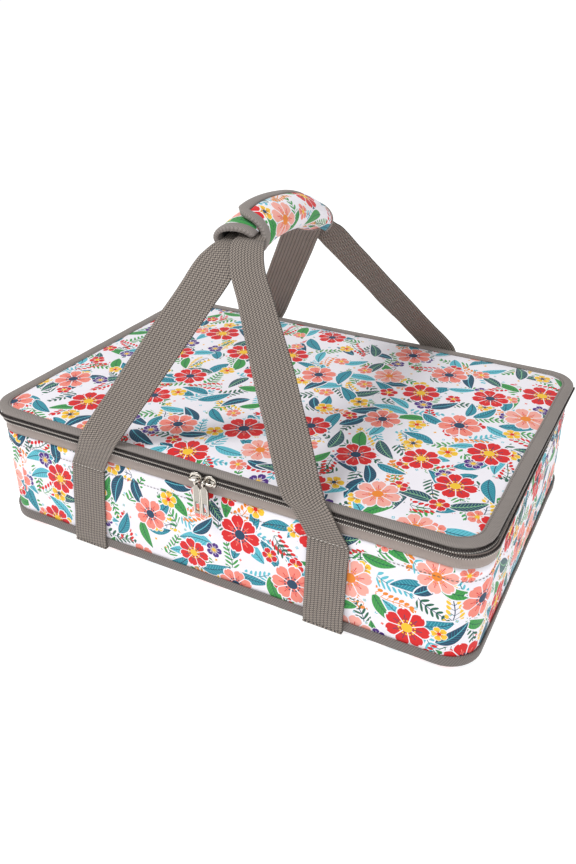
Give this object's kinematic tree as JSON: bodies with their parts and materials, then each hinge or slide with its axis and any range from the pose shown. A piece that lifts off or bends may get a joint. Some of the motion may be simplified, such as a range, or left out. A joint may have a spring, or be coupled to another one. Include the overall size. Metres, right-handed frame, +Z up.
{
  "type": "casserole carrier",
  "caption": "Insulated rectangular casserole carrier: padded printed tub, zipped lid on a back hinge, webbing handle loops under the base and a padded handle wrap.",
  "frame": {"origin": "middle of the footprint, on the underside of the base straps", "axes": "+X along the long side to the right, +Y to the back hinge, +Z up"},
  "size_m": [0.4254, 0.3024, 0.2761],
  "materials": {
    "print_fabric": "matte woven fabric with a printed floral pattern",
    "grey_twill": "matte grey-taupe twill tape",
    "webbing": "matte ribbed taupe webbing",
    "zip_tape": "matte woven zip tape",
    "zip_coil": "dark nylon coil",
    "lining": "smooth wipe-clean lining",
    "foam": "closed-cell foam padding",
    "stiffener": "plain board",
    "hook_and_loop": "black hook and loop tape",
    "zip_metal": "bright nickel plate"
  },
  "bodies": {
    "tub": {"base_panel": "print_fabric", "base_board": "stiffener", "base_foam": "foam", "side_band": "print_fabric", "back_foam": "foam", "front_foam": "foam", "left_foam": "foam", "right_foam": "foam", "tub_lining": "lining", "bottom_binding": "grey_twill", "zip_tape_lower": "zip_tape", "zip_coil_lower": "zip_coil", "hinge_strip": "zip_tape", "left_base_strap": "webbing", "left_front_sewn_strap": "webbing", "left_back_sewn_strap": "webbing", "right_base_strap": "webbing", "right_front_sewn_strap": "webbing", "right_back_sewn_strap": "webbing"},
    "lid": {"lid_panel": "print_fabric", "lid_foam": "foam", "lid_lining": "lining", "top_binding": "grey_twill", "zip_tape_upper": "grey_twill", "zip_coil_upper": "zip_coil"},
    "left_loop": {"left_loop_front_leg": "webbing", "left_loop_grip": "webbing", "left_loop_back_leg": "webbing"},
    "right_loop": {"right_loop_front_leg": "webbing", "right_loop_grip": "webbing", "right_loop_back_leg": "webbing", "wrap_lining": "grey_twill", "wrap_pad": "foam", "wrap_cover": "print_fabric", "wrap_front_binding": "grey_twill", "wrap_back_binding": "grey_twill", "loop_tape": "hook_and_loop"},
    "wrap_flap": {"hook_tape": "hook_and_loop", "flap_lining": "grey_twill", "flap_pad": "foam", "flap_cover": "print_fabric", "flap_binding": "grey_twill"},
    "left_slider": {"left_slider": "zip_metal"},
    "right_slider": {"right_slider": "zip_metal"},
    "left_pull": {"left_pull": "zip_metal"},
    "right_pull": {"right_pull": "zip_metal"}
  },
  "joints": [
    {"name": "lid_hinge", "type": "hinge", "parent": "tub", "child": "lid", "pos_m": [0, 0.1429, 0.098], "axis": [-1, 0, 0], "range_deg": [0, 100], "deforming": ["left_loop_front_leg", "left_loop_grip", "left_loop_back_leg", "right_loop_front_leg", "right_loop_grip", "right_loop_back_leg"]},
    {"name": "left_loop_fold", "type": "hinge", "parent": "tub", "child": "left_loop", "pos_m": [-0.15427, 0, 0.07534], "axis": [0, -1, 0], "range_deg": [0, 140]},
    {"name": "right_loop_fold", "type": "hinge", "parent": "tub", "child": "right_loop", "pos_m": [0.14727, 0, 0.07279], "axis": [0, 1, 0], "range_deg": [0, 140]},
    {"name": "wrap_flap_hinge", "type": "hinge", "parent": "right_loop", "child": "wrap_flap", "pos_m": [0.00692, -0.00676, 0.24274], "axis": [-0.0787, 0.9877, -0.1353], "range_deg": [0, 120]},
    {"name": "left_slider_travel", "type": "slide", "parent": "tub", "child": "left_slider", "axis": [-1, 0, 0], "range_m": [0, 0.17]},
    {"name": "right_slider_travel", "type": "slide", "parent": "tub", "child": "right_slider", "axis": [1, 0, 0], "range_m": [0, 0.17]},
    {"name": "left_pull_swing", "type": "hinge", "parent": "left_slider", "child": "left_pull", "pos_m": [-0.00115, -0.1501, 0.1004], "axis": [-1, 0, 0], "range_deg": [0, 150]},
    {"name": "right_pull_swing", "type": "hinge", "parent": "right_slider", "child": "right_pull", "pos_m": [0.00555, -0.1501, 0.1004], "axis": [-1, 0, 0], "range_deg": [0, 150]}
  ],
  "couplings": [
    {"joint": "left_loop_fold", "follows": "lid_hinge", "ratio": 1.4},
    {"joint": "right_loop_fold", "follows": "lid_hinge", "ratio": 1.4}
  ]
}
